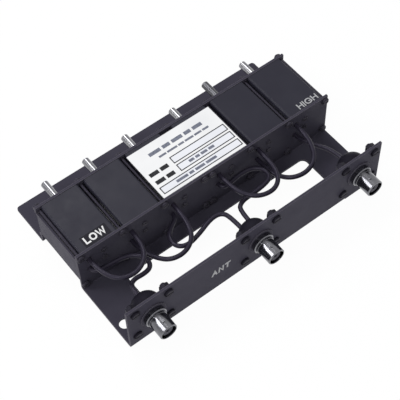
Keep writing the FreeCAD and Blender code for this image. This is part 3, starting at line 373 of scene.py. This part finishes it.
WORN_INK = Finish(
    "worn_ink", (0.41, 0.41, 0.42), (0.33, 0.33, 0.34), 0.50, 0.06,
    patch=500.0, reflectance=0.25, relief=0.000008, edge_wear_and_highlight_share=0.0,
)
STICKER_FILM = Finish(
    "sticker_film", (0.014, 0.013, 0.019), (0.018, 0.017, 0.023), 0.40, 0.04,
    reflectance=0.07, relief=0.000006, edge_wear_and_highlight=(0.04, 0.04, 0.045), edge_wear_and_highlight_share=0.4,
)


def dress_nodes(names: list[str], finish: Finish) -> None:
    """Gives CAD nodes a finish.

    Args:
        names: Names of the nodes.
        finish: Their finish.
    """
    for name in names:
        finish.dress(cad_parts[name])
        log.info("%s in %s", name, finish.name)


def place_mesh(
    name: str, points: list[Point], faces: list[tuple[int, ...]], finish: Finish
) -> bpy.types.Object:
    """Builds a mesh piece that rides on the chassis.

    Args:
        name: Name of the piece.
        points: Corners, in millimetres in the frame.
        faces: Indices of the corners of each face.
        finish: Its finish.

    Returns:
        The new object.
    """
    mesh = bpy.data.meshes.new(name)
    mesh.from_pydata([Vector(p) * MM for p in points], [], faces)
    mesh.update()
    piece = bpy.data.objects.new(name, mesh)
    bpy.context.scene.collection.objects.link(piece)
    finish.dress(piece)
    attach(piece, "chassis")
    log.info("%s with %d faces", name, len(faces))
    return piece


@dataclass
class Print:
    """Flat patches of ink or film on one plane, gathered into one mesh.

    Attributes:
        name: Name of the piece.
        origin: Where the drawing starts, in millimetres in the frame.
        facing: The way that it looks.
        thickness: How far the patches stand out, in millimetres.
        finish: Finish of the ink or film.
        slot: The record's material slot; not used.
        layer: How much farther each next stroke stands out, in millimetres.
        strokes: Strokes drawn so far.
        points: Corners gathered so far.
        faces: Faces gathered so far.
    """

    name: str
    origin: Point
    facing: Facing
    thickness: float
    finish: Finish
    slot: str
    layer: float = 0.01
    strokes: int = 0
    points: list[Point] = field(default_factory=list)
    faces: list[tuple[int, ...]] = field(default_factory=list)

    def spot(self, across: float, up: float, out: float) -> Point:
        """Returns the frame place of a point of the drawing, in millimetres."""
        along, rise, normal = (Vector(v) for v in self.facing.value)
        return tuple(Vector(self.origin) + along * across + rise * up + normal * out)

    def patch(self, corners: list[tuple[float, float]]) -> None:
        """Adds a convex patch with its rim.

        Args:
            corners: Its outline, anticlockwise, in millimetres.
        """
        first, count = len(self.points), len(corners)
        self.points += [self.spot(x, y, 0.0) for x, y in corners]
        top = self.thickness + self.strokes * self.layer
        self.points += [self.spot(x, y, top) for x, y in corners]
        self.faces.append(tuple(first + count + n for n in range(count)))
        for n in range(count):
            after = (n + 1) % count
            self.faces.append((first + n, first + after, first + count + after, first + count + n))

    def bar(self, left: float, bottom: float, right: float, top: float) -> None:
        """Adds a rectangle from its left, bottom, right and top."""
        self.patch([(left, bottom), (right, bottom), (right, top), (left, top)])

    def ruled_box(self, left: float, bottom: float, right: float, top: float, line: float) -> None:
        """Adds the four lines of a box, with its outer size and the width of the line."""
        self.bar(left, bottom, right, bottom + line)
        self.bar(left, top - line, right, top)
        self.bar(left, bottom + line, left + line, top - line)
        self.bar(right - line, bottom + line, right, top - line)

    def stroke(self, path: list[tuple[float, float]], width: float, closed: bool = False) -> None:
        """Adds a line of even width with mitred corners, a layer above the one before.

        Args:
            path: Its middle line, in millimetres.
            width: Width of the line.
            closed: Whether the last point joins the first.
        """
        spots = [Vector(p) for p in path]
        count = len(spots)
        sides: list[tuple[Vector, Vector]] = []
        for n, spot in enumerate(spots):
            before = spots[n - 1] if closed or n > 0 else None
            after = spots[(n + 1) % count] if closed or n < count - 1 else None
            ends = ((before, spot), (spot, after))
            runs = [(b - a).normalized() for a, b in ends if a is not None and b is not None]
            normals = [Vector((-run.y, run.x)) for run in runs]
            mitre = sum(normals, Vector((0.0, 0.0))).normalized()
            reach = width / 2 / max(mitre.dot(normals[0]), MITRE_LIMIT)
            sides.append((spot - mitre * reach, spot + mitre * reach))
        for n in range(count if closed else count - 1):
            (a, b), (c, d) = sides[n], sides[(n + 1) % count]
            self.patch([tuple(a), tuple(c), tuple(d), tuple(b)])
        self.strokes += 1

    def build(self) -> bpy.types.Object:
        """Builds the gathered patches as one piece and returns it."""
        return place_mesh(self.name, self.points, self.faces, self.finish)


@dataclass(frozen=True)
class Lettering:
    """A short word in plain block capitals.

    Attributes:
        word: The word.
        name: Name of the piece.
        origin: Lower left corner of the first letter, in millimetres in the frame.
        facing: The way that it looks.
        height: Height of the letters, in millimetres.
        gap: Space between two letters.
        line: Width of the strokes.
        finish: Finish of the ink.
        widths: Width of each letter.
        slant: Lean of the letters to the right for each millimetre of height.
        ink: Thickness of the ink.
    """

    word: str
    name: str
    origin: Point
    facing: Facing
    height: float
    gap: float
    line: float
    finish: Finish
    widths: tuple[float, ...]
    slant: float = 0.0
    ink: float = 0.06

    def strokes(self, letter: str) -> list[tuple[list[tuple[float, float]], bool]]:
        """Returns the middle lines of a letter in a unit box, each with whether it is closed."""
        ring = [(0.5, 1.0), (0.2, 0.93), (0.03, 0.72), (0.0, 0.5), (0.03, 0.28), (0.2, 0.07), (0.5, 0.0),
                (0.8, 0.07), (0.97, 0.28), (1.0, 0.5), (0.97, 0.72), (0.8, 0.93)]
        bow = [(0.97, 0.76), (0.82, 0.93), (0.5, 1.0), (0.2, 0.93), (0.03, 0.72), (0.0, 0.5), (0.03, 0.28),
               (0.2, 0.07), (0.5, 0.0), (0.8, 0.06), (1.0, 0.2), (1.0, 0.44), (0.64, 0.44)]
        return {
            "L": [([(0.0, 1.0), (0.0, 0.0), (1.0, 0.0)], False)],
            "O": [(ring, True)],
            "W": [([(0.0, 1.0), (0.24, 0.0), (0.5, 0.9), (0.76, 0.0), (1.0, 1.0)], False)],
            "H": [([(0.0, 1.0), (0.0, 0.0)], False), ([(1.0, 1.0), (1.0, 0.0)], False),
                  ([(0.0, 0.52), (1.0, 0.52)], False)],
            "I": [([(0.0, 1.0), (0.0, 0.0)], False)],
            "G": [(bow, False)],
            "A": [([(0.0, 0.0), (0.5, 1.0), (1.0, 0.0)], False), ([(0.2, 0.34), (0.8, 0.34)], False)],
            "N": [([(0.0, 0.0), (0.0, 1.0), (1.0, 0.0), (1.0, 1.0)], False)],
            "T": [([(0.5, 1.0), (0.5, 0.0)], False), ([(0.0, 1.0), (1.0, 1.0)], False)],
        }[letter]

    def build(self) -> bpy.types.Object:
        """Builds the word and returns it."""
        ink = Print(self.name, self.origin, self.facing, self.ink, self.finish, "white_label")
        inset = self.line / 2
        rise = self.height - self.line
        left = 0.0
        for letter, size in zip(self.word, self.widths):
            span = max(size - self.line, 0.0)
            for path, closed in self.strokes(letter):
                line = [(left + inset + x * span + (inset + y * rise) * self.slant, inset + y * rise) for x, y in path]
                ink.stroke(self.reach_ends(line, closed), self.line, closed)
            left += size + self.gap
        return ink.build()

    def reach_ends(self, line: list[tuple[float, float]], closed: bool) -> list[tuple[float, float]]:
        """Lengthens an open line by half its width at both ends.

        Args:
            line: Middle line of a stroke.
            closed: Whether it is a ring, which is left as it is.

        Returns:
            The line that the ink follows.
        """
        if closed:
            return line
        spots = [Vector(p) for p in line]
        spots[0] = spots[0] + (spots[0] - spots[1]).normalized() * self.line / 2
        spots[-1] = spots[-1] + (spots[-1] - spots[-2]).normalized() * self.line / 2
        return [tuple(p) for p in spots]


@dataclass
class Brackets:
    """The two folded black sheets that carry everything."""

    nodes: tuple[str, ...] = ("front_bracket", "rear_bracket")

    def build(self) -> None:
        """Dresses both brackets."""
        dress_nodes(list(self.nodes), BRACKET_ENAMEL)


@dataclass
class Cavities:
    """Six square cavity tubes with what stands inside them and the rods that tune them."""

    count: int = 6
    dull: int = 5

    def build(self) -> None:
        """Dresses the tubes, posts, loops, rods, bushes and lock nuts."""
        numbers = range(1, self.count + 1)
        dress_nodes([f"cavity_tube_{n}" for n in numbers], TUBE_ENAMEL)
        dress_nodes([f"centre_conductor_{n}" for n in numbers], SILVER_PLATE)
        dress_nodes([f"coupling_loop_{n}" for n in numbers], COPPER_WIRE)
        dress_nodes([f"rod_bush_{n}" for n in numbers], TURNED_BRASS)
        dress_nodes([f"tuning_rod_{n}" for n in numbers if n != self.dull], BRIGHT_ROD)
        dress_nodes([f"tuning_rod_{self.dull}"], DULL_ROD)
        dress_nodes(["rod_lock_nuts"], BLACK_ZINC)


@dataclass
class Ports:
    """The three bayonet jacks with their hoods and hardware."""

    names: tuple[str, ...] = ("low", "antenna", "high")

    def build(self) -> None:
        """Dresses the jacks, their insulators, contacts, hoods and fixings."""
        dress_nodes([f"{name}_jack" for name in self.names] + ["jack_nuts"], BRIGHT_NICKEL)
        dress_nodes([f"{name}_insulator" for name in self.names], DARK_INSULATOR)
        dress_nodes([f"{name}_hood" for name in self.names], HOOD_ENAMEL)
        dress_nodes(["centre_contacts"], GOLD_PLATE)
        # The jack washers take the brackets' enamel, whose colour is lifted as painted light.
        dress_nodes(["jack_washers"], BRACKET_ENAMEL)


@dataclass
class Fasteners:
    """Slotted screws and nuts."""

    painted: tuple[str, ...] = ("tie_screws", "tie_nuts", "post_screws")
    plated: tuple[str, ...] = ("hood_screws", "hood_nuts")

    def build(self) -> None:
        """Dresses the screws and nuts, of which those of the cavities were painted over."""
        dress_nodes(list(self.painted), PAINTED_SCREW)
        dress_nodes(list(self.plated), BLACK_ZINC)


@dataclass(frozen=True)
class Jumper:
    """One jumper cable, drawn along the same points as its CAD node.

    Attributes:
        node: Name of its CAD node.
        start: Where it starts, in millimetres, with its depth from the panel.
        points: What draws the curve between its ends.
        end: Where it ends.
        radius: Radius of the jacket.
        order: Order of the curve.
        facets: Steps of a quarter of its round section.
        steps: Steps between two points.
    """

    node: str
    start: Point
    points: tuple[Point, ...]
    end: Point
    radius: float = 1.4
    order: int = 3
    facets: int = 6
    steps: int = 12

    def build(self) -> bpy.types.Object:
        """Draws the cable as a smooth curve in place of its CAD node.

        Returns:
            The curve object.
        """
        curve = bpy.data.curves.new(f"{self.node}_jacket", "CURVE")
        curve.dimensions = "3D"
        curve.bevel_depth = self.radius * MM
        curve.bevel_resolution = self.facets
        curve.resolution_u = self.steps
        curve.use_fill_caps = True
        line = (self.start, *self.points, self.end)
        spline = curve.splines.new("NURBS")
        spline.points.add(len(line) - 1)
        for spot, (across, depth, height) in zip(spline.points, line):
            spot.co = (across * MM, (depth + PANEL_Y) * MM, height * MM, 1.0)
        spline.order_u = self.order
        spline.use_endpoint_u = True
        piece = bpy.data.objects.new(f"{self.node}_jacket", curve)
        bpy.context.scene.collection.objects.link(piece)
        JACKET.dress(piece)
        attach(piece, "chassis")
        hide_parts(self.node)
        log.info("%s through %d points", piece.name, len(line))
        return piece


@dataclass
class Jumpers:
    """The eight jumper cables between the cavities and the jacks.

    Attributes:
        upper: Height of the upper cable holes.
        upper_holes: Where they are along the row, from the low end.
        lower: Height of the lower cable holes.
        lower_holes: Where they are along the row.
        axis: Height of the jacks.
        exits: Where each cable leaves its hood, along the row.
        wall: Depth of the cables' ends in the cavities, from the panel.
        hood: Depth of their ends in the hoods.
    """

    upper: float = 26.2
    upper_holes: tuple[float, ...] = (-82.7, -53.9, -25.1, 7.9, 36.7, 65.5)
    lower: float = 17.2
    lower_holes: tuple[float, ...] = (-83.3, -54.5, -25.7, 7.3, 36.1, 64.9)
    axis: float = 20.6
    exits: tuple[tuple[str, float], ...] = (("low", -73.7), ("to_3", -2.5), ("to_4", 3.7), ("high", 73.7))
    wall: float = 48.0
    hood: float = 6.5

    def cables(self) -> list[Jumper]:
        """Returns the cables from the low end to the high end."""
        top = {n: (x, self.wall, self.upper) for n, x in enumerate(self.upper_holes, 1)}
        low = {n: (x, self.wall, self.lower) for n, x in enumerate(self.lower_holes, 1)}
        jack = {name: (x, self.hood, self.axis) for name, x in self.exits}
        return [
            Jumper("jumper_cavity_1_to_2", top[1], (
                (-82.7, 40.0, 26.2), (-80.4, 30.6, 26.3), (-75.0, 24.4, 26.5), (-66.8, 23.0, 26.6),
                (-58.8, 27.2, 26.4), (-54.8, 34.6, 26.3), (-53.9, 42.0, 26.2)), top[2]),
            Jumper("jumper_cavity_2_to_3", low[2], (
                (-54.5, 39.6, 17.2), (-52.0, 29.2, 18.8), (-46.4, 20.8, 20.6), (-36.8, 18.8, 22.2),
                (-28.8, 23.4, 23.8), (-25.6, 32.2, 25.2), (-25.1, 41.0, 26.2)), top[3]),
            Jumper("jumper_cavity_3_to_antenna", low[3], (
                (-25.7, 43.4, 17.2), (-31.8, 40.0, 17.3), (-37.2, 34.8, 17.8), (-38.0, 27.4, 18.2),
                (-32.4, 23.4, 18.6), (-22.4, 25.4, 19.2), (-12.4, 28.8, 19.8), (-5.2, 28.2, 20.3),
                (-2.5, 22.4, 20.6)), jack["to_3"]),
            Jumper("jumper_antenna_to_cavity_4", jack["to_4"], (
                (3.7, 22.4, 20.6), (8.4, 26.8, 20.4), (17.4, 27.2, 20.2), (26.0, 27.8, 20.1),
                (32.4, 29.6, 20.0), (33.9, 36.6, 19.8), (28.8, 42.4, 19.0), (20.4, 43.6, 18.0),
                (12.6, 42.6, 17.4), (7.3, 42.8, 17.2)), low[4]),
            Jumper("jumper_cavity_4_to_5", top[4], (
                (7.9, 38.4, 26.2), (9.8, 27.6, 26.4), (15.8, 20.2, 26.6), (24.8, 18.0, 26.7),
                (32.2, 21.8, 26.5), (35.9, 30.0, 26.3), (36.7, 39.4, 26.2)), top[5]),
            Jumper("jumper_cavity_5_to_6", low[5], (
                (36.1, 39.2, 17.2), (36.4, 29.8, 18.7), (41.2, 21.4, 20.4), (50.4, 18.2, 21.9),
                (59.4, 21.8, 23.2), (64.2, 30.4, 24.7), (65.5, 40.0, 26.2)), top[6]),
            Jumper("jumper_cavity_6_to_high", low[6], (
                (64.9, 42.6, 17.2), (67.8, 33.6, 18.4), (73.7, 20.4, 20.6)), jack["high"]),
            Jumper("jumper_low_to_cavity_1", jack["low"], (
                (-73.7, 20.4, 20.6), (-69.8, 23.8, 20.4), (-62.2, 23.2, 20.0), (-57.2, 24.6, 19.7),
                (-55.4, 29.4, 19.4), (-57.4, 35.4, 19.0), (-63.8, 39.8, 18.5), (-73.2, 41.2, 17.8),
                (-83.3, 42.4, 17.2)), low[1]),
        ]

    def build(self) -> None:
        """Draws every cable."""
        for cable in self.cables():
            cable.build()


@dataclass
class Nameplate:
    """White plate on the two middle cavities, with ruled boxes and bars in place of print.

    Attributes:
        top: Height of its face above the base.
        place: Where the print's own zero is along and across the row.
        line: Width of the rules.
        boxes: Left, bottom, right and top of each ruled box.
        captions: The same of each dark bar beside them.
        rows: Left, bottom and height of each row of grey bars, and the bars' lengths.
        word_gap: Space between two bars as a share of their height.
        field_depth: How far the pale fields stand out.
        rule_depth: How far the rules and the dark bars stand out.
        bar_depth: How far the grey bars stand out.
    """

    top: float = 34.6
    place: tuple[float, float] = (0.2, 0.3)
    line: float = 0.62
    boxes: tuple[tuple[float, float, float, float], ...] = (
        (-10.9, 12.2, 28.3, 17.5),
        (-10.9, 5.5, 28.2, 10.9),
        (-27.9, -1.3, 28.4, 4.0),
    )
    captions: tuple[tuple[float, float, float, float], ...] = (
        (-27.2, 12.4, -21.0, 15.2),
        (-19.6, 12.4, -14.2, 15.2),
        (-27.2, 6.2, -21.0, 9.0),
        (-19.6, 6.2, -14.2, 9.0),
    )
    rows: tuple[tuple[float, float, float, tuple[float, ...]], ...] = (
        (-3.4, 7.4, 1.8, (3.6, 2.8, 4.4, 4.0)),
        (-17.4, 0.5, 1.8, (8.0, 3.2, 6.6, 7.4)),
        (-19.0, 24.5, 2.5, (8.0, 5.2, 7.4, 4.6, 6.6)),
        (-15.0, 20.6, 1.4, (5.0, 7.0, 4.0, 6.0, 5.0, 4.4)),
    )
    word_gap: float = 0.6
    field_depth: float = 0.02
    rule_depth: float = 0.04
    bar_depth: float = 0.045

    def build(self) -> None:
        """Dresses the plate and prints it."""
        dress_nodes(["nameplate"], WHITE_PLATE)
        origin = (*self.place, self.top)
        fields = Print("nameplate_fields", origin, Facing.TOP, self.field_depth, PALE_FIELD, "white_label")
        for box in self.boxes:
            fields.bar(*box)
        fields.build()
        lines = Print("nameplate_rules", origin, Facing.TOP, self.rule_depth, BLACK_INK, "white_label")
        for box in self.boxes:
            lines.ruled_box(*box, self.line)
        for caption in self.captions:
            lines.bar(*caption)
        lines.build()
        words = Print("nameplate_bars", origin, Facing.TOP, self.bar_depth, GREY_INK, "white_label")
        for left, bottom, height, lengths in self.rows:
            for length in lengths:
                words.bar(left, bottom, left + length, bottom + height)
                left += length + height * self.word_gap
        words.build()


@dataclass
class PortMarks:
    """The words that say which port is which.

    Attributes:
        tube_top: Height of the cavities' top above the base.
        film: Thickness of the film under LOW.
        proud: How far in front of the panel the ink of ANT starts.
    """

    tube_top: float = 34.0
    film: float = 0.08
    proud: float = 0.02

    def build(self) -> None:
        """Sticks the film on the first cavity and prints the three words."""
        film = Print("low_film", (-81.7, -3.4, self.tube_top), Facing.TOP, self.film, STICKER_FILM, "black_tube")
        film.bar(0.0, 1.1, 16.7, 8.6)
        film.build()
        top = self.tube_top + self.film
        low = Lettering(
            "LOW", "low_mark", (-80.4, -0.8, top), Facing.TOP,
            height=4.9, gap=0.35, line=1.0, finish=WHITE_INK, widths=(3.2, 4.4, 5.4),
        )
        high = Lettering(
            "HIGH", "high_mark", (70.6, -2.15, self.tube_top), Facing.TOP,
            height=4.2, gap=0.6, line=0.75, finish=WORN_INK, widths=(3.7, 0.75, 4.5, 3.7),
        )
        antenna = Lettering(
            "ANT", "antenna_mark", (-33.9, PANEL_Y - self.proud, 16.2), Facing.FRONT,
            height=5.1, gap=0.6, line=1.15, finish=WORN_INK, widths=(4.0, 3.8, 4.0), slant=0.08,
        )
        for word in (low, high, antenna):
            word.build()


@dataclass(frozen=True)
class Lamp:
    """A soft area lamp.

    Attributes:
        name: Name of the lamp.
        place: Where it hangs, in metres.
        target: The point that it looks at.
        size: Its two sides.
        power: Its power in watts.
        roll: Turn about its own axis, in radians.
    """

    name: str
    place: Point
    target: Point
    size: tuple[float, float]
    power: float
    roll: float = 0.0

    def build(self) -> None:
        """Adds the lamp, aimed at its target and turned about its own axis by its roll."""
        data = bpy.data.lights.new(self.name, "AREA")
        data.shape = "RECTANGLE"
        data.size, data.size_y = self.size
        data.energy = self.power
        lamp = bpy.data.objects.new(self.name, data)
        lamp.location = self.place
        aim = (Vector(self.target) - Vector(self.place)).to_track_quat("-Z", "Y")
        lamp.rotation_euler = (aim @ Quaternion((0.0, 0.0, 1.0), self.roll)).to_euler()
        bpy.context.scene.collection.objects.link(lamp)


@dataclass
class Studio:
    """Camera, pale floor, soft lamps and even surroundings.

    Attributes:
        eye: Place of the camera, in metres.
        forward: The way that it looks.
        right: The way that the picture's rows run.
        lens: Focal length in millimetres.
        sensor: Width of the film in millimetres.
        clip: Nearest and farthest distance that it sees.
        surround: Strength of the light from all around.
        sky: Colour of that light.
        half_floor: Half the floor's side.
        floor_height: Height of the floor, a hair under the object.
        floor_colour: Colour of the floor.
        floor_glow: Share of plain white in the floor that the eye sees.
        cells: Cells along the floor's side.
        lamps: The lamps.
    """

    eye: Point = (-0.22321, -0.30934, 0.56691)
    forward: Point = (0.3247, 0.4561, -0.8286)
    right: Point = (0.7911, -0.6111, -0.0265)
    lens: float = 103.94
    sensor: float = 36.0
    clip: tuple[float, float] = (0.02, 20.0)
    surround: float = 0.68
    sky: Colour = (0.98, 0.99, 1.0)
    half_floor: float = 3.0
    floor_height: float = -0.00005
    floor_colour: Colour = (0.88, 0.88, 0.89)
    floor_glow: float = 0.96
    cells: int = 12
    lamps: tuple[Lamp, ...] = (
        Lamp("overhead", (0.22, 1.02, 1.55), (0.0, 0.0, 0.0), (0.45, 0.45), 5.5),
        Lamp("front_left", (-0.95, -0.45, 1.25), (0.0, 0.0, 0.0), (0.45, 0.45), 6.0),
        Lamp("strip", (-0.93, 0.67, 1.13), (-0.04, -0.06, 0.02), (0.2, 0.85), 7.0, roll=0.52),
    )

    def add_camera(self) -> None:
        """Places the camera where the photograph was taken."""
        ahead = Vector(self.forward).normalized()
        side = Vector(self.right)
        side = (side - ahead * side.dot(ahead)).normalized()
        up = side.cross(ahead)
        data = bpy.data.cameras.new("camera")
        data.lens = self.lens
        data.sensor_width = self.sensor
        data.clip_start, data.clip_end = self.clip
        camera = bpy.data.objects.new("camera", data)
        turn = Matrix((side, up, -ahead)).transposed().to_4x4()
        camera.matrix_world = Matrix.Translation(Vector(self.eye)) @ turn
        bpy.context.scene.collection.objects.link(camera)
        bpy.context.scene.camera = camera

    def seen_white(self, tree: bpy.types.NodeTree) -> bpy.types.NodeSocket:
        """Adds the share of rays that see the plain background.

        Args:
            tree: The node tree.

        Returns:
            1 for rays from the camera, a mirror or a clear body.
        """
        path = tree.nodes.new("ShaderNodeLightPath")
        total = path.outputs["Is Camera Ray"]
        for key in ("Is Glossy Ray", "Is Transmission Ray"):
            both = tree.nodes.new("ShaderNodeMath")
            both.operation = "MAXIMUM"
            tree.links.new(total, both.inputs[0])
            tree.links.new(path.outputs[key], both.inputs[1])
            total = both.outputs[0]
        return total

    def add_floor(self) -> None:
        """Lays a pale floor that stays white for the eye and keeps a soft shadow."""
        step = 2 * self.half_floor / self.cells
        row = self.cells + 1
        marks = [n * step - self.half_floor for n in range(row)]
        points = [(x, y, self.floor_height) for y in marks for x in marks]
        faces = [(y * row + x, y * row + x + 1, (y + 1) * row + x + 1, (y + 1) * row + x)
                 for y in range(self.cells) for x in range(self.cells)]
        mesh = bpy.data.meshes.new("floor")
        mesh.from_pydata(points, [], faces)
        floor = bpy.data.objects.new("floor", mesh)
        bpy.context.scene.collection.objects.link(floor)
        bench = Bench("pale_floor")
        bench.shader.inputs["Base Color"].default_value = (*self.floor_colour, 1.0)
        bench.shader.inputs["Roughness"].default_value = 0.9
        glow = bench.add("ShaderNodeEmission")
        glow.inputs["Strength"].default_value = 1.0
        mix = bench.add("ShaderNodeMixShader")
        bench.join(bench.spread(self.seen_white(bench.tree), (0.0, 1.0), (0.0, self.floor_glow)), mix.inputs["Fac"])
        bench.join(bench.shader.outputs["BSDF"], mix.inputs[1])
        bench.join(glow.outputs["Emission"], mix.inputs[2])
        output = next(node for node in bench.tree.nodes if node.type == "OUTPUT_MATERIAL")
        bench.join(mix.outputs["Shader"], output.inputs["Surface"])
        mesh.materials.append(bench.material)

    def add_surround(self) -> None:
        """Surrounds the object with even light, and white for the eye."""
        world = bpy.data.worlds.new("surround")
        world.use_nodes = True
        tree = world.node_tree
        even = tree.nodes["Background"]
        even.inputs["Color"].default_value = (*self.sky, 1.0)
        even.inputs["Strength"].default_value = self.surround
        white = tree.nodes.new("ShaderNodeBackground")
        white.inputs["Strength"].default_value = 1.0
        mix = tree.nodes.new("ShaderNodeMixShader")
        tree.links.new(self.seen_white(tree), mix.inputs["Fac"])
        tree.links.new(even.outputs["Background"], mix.inputs[1])
        tree.links.new(white.outputs["Background"], mix.inputs[2])
        tree.links.new(mix.outputs["Shader"], tree.nodes["World Output"].inputs["Surface"])
        bpy.context.scene.world = world

    def build(self) -> None:
        """Sets up the whole studio."""
        self.add_camera()
        self.add_floor()
        self.add_surround()
        for lamp in self.lamps:
            lamp.build()
        bpy.context.scene.view_settings.view_transform = "Standard"


def main() -> None:
    """Builds every sub-assembly in order."""
    logging.basicConfig(level=logging.INFO, format="%(name)s: %(message)s")
    for part in (Brackets(), Cavities(), Ports(), Fasteners(), Jumpers(), Nameplate(), PortMarks(), Studio()):
        part.build()
        log.info("%s done", type(part).__name__)


if __name__ == "__main__":
    main()
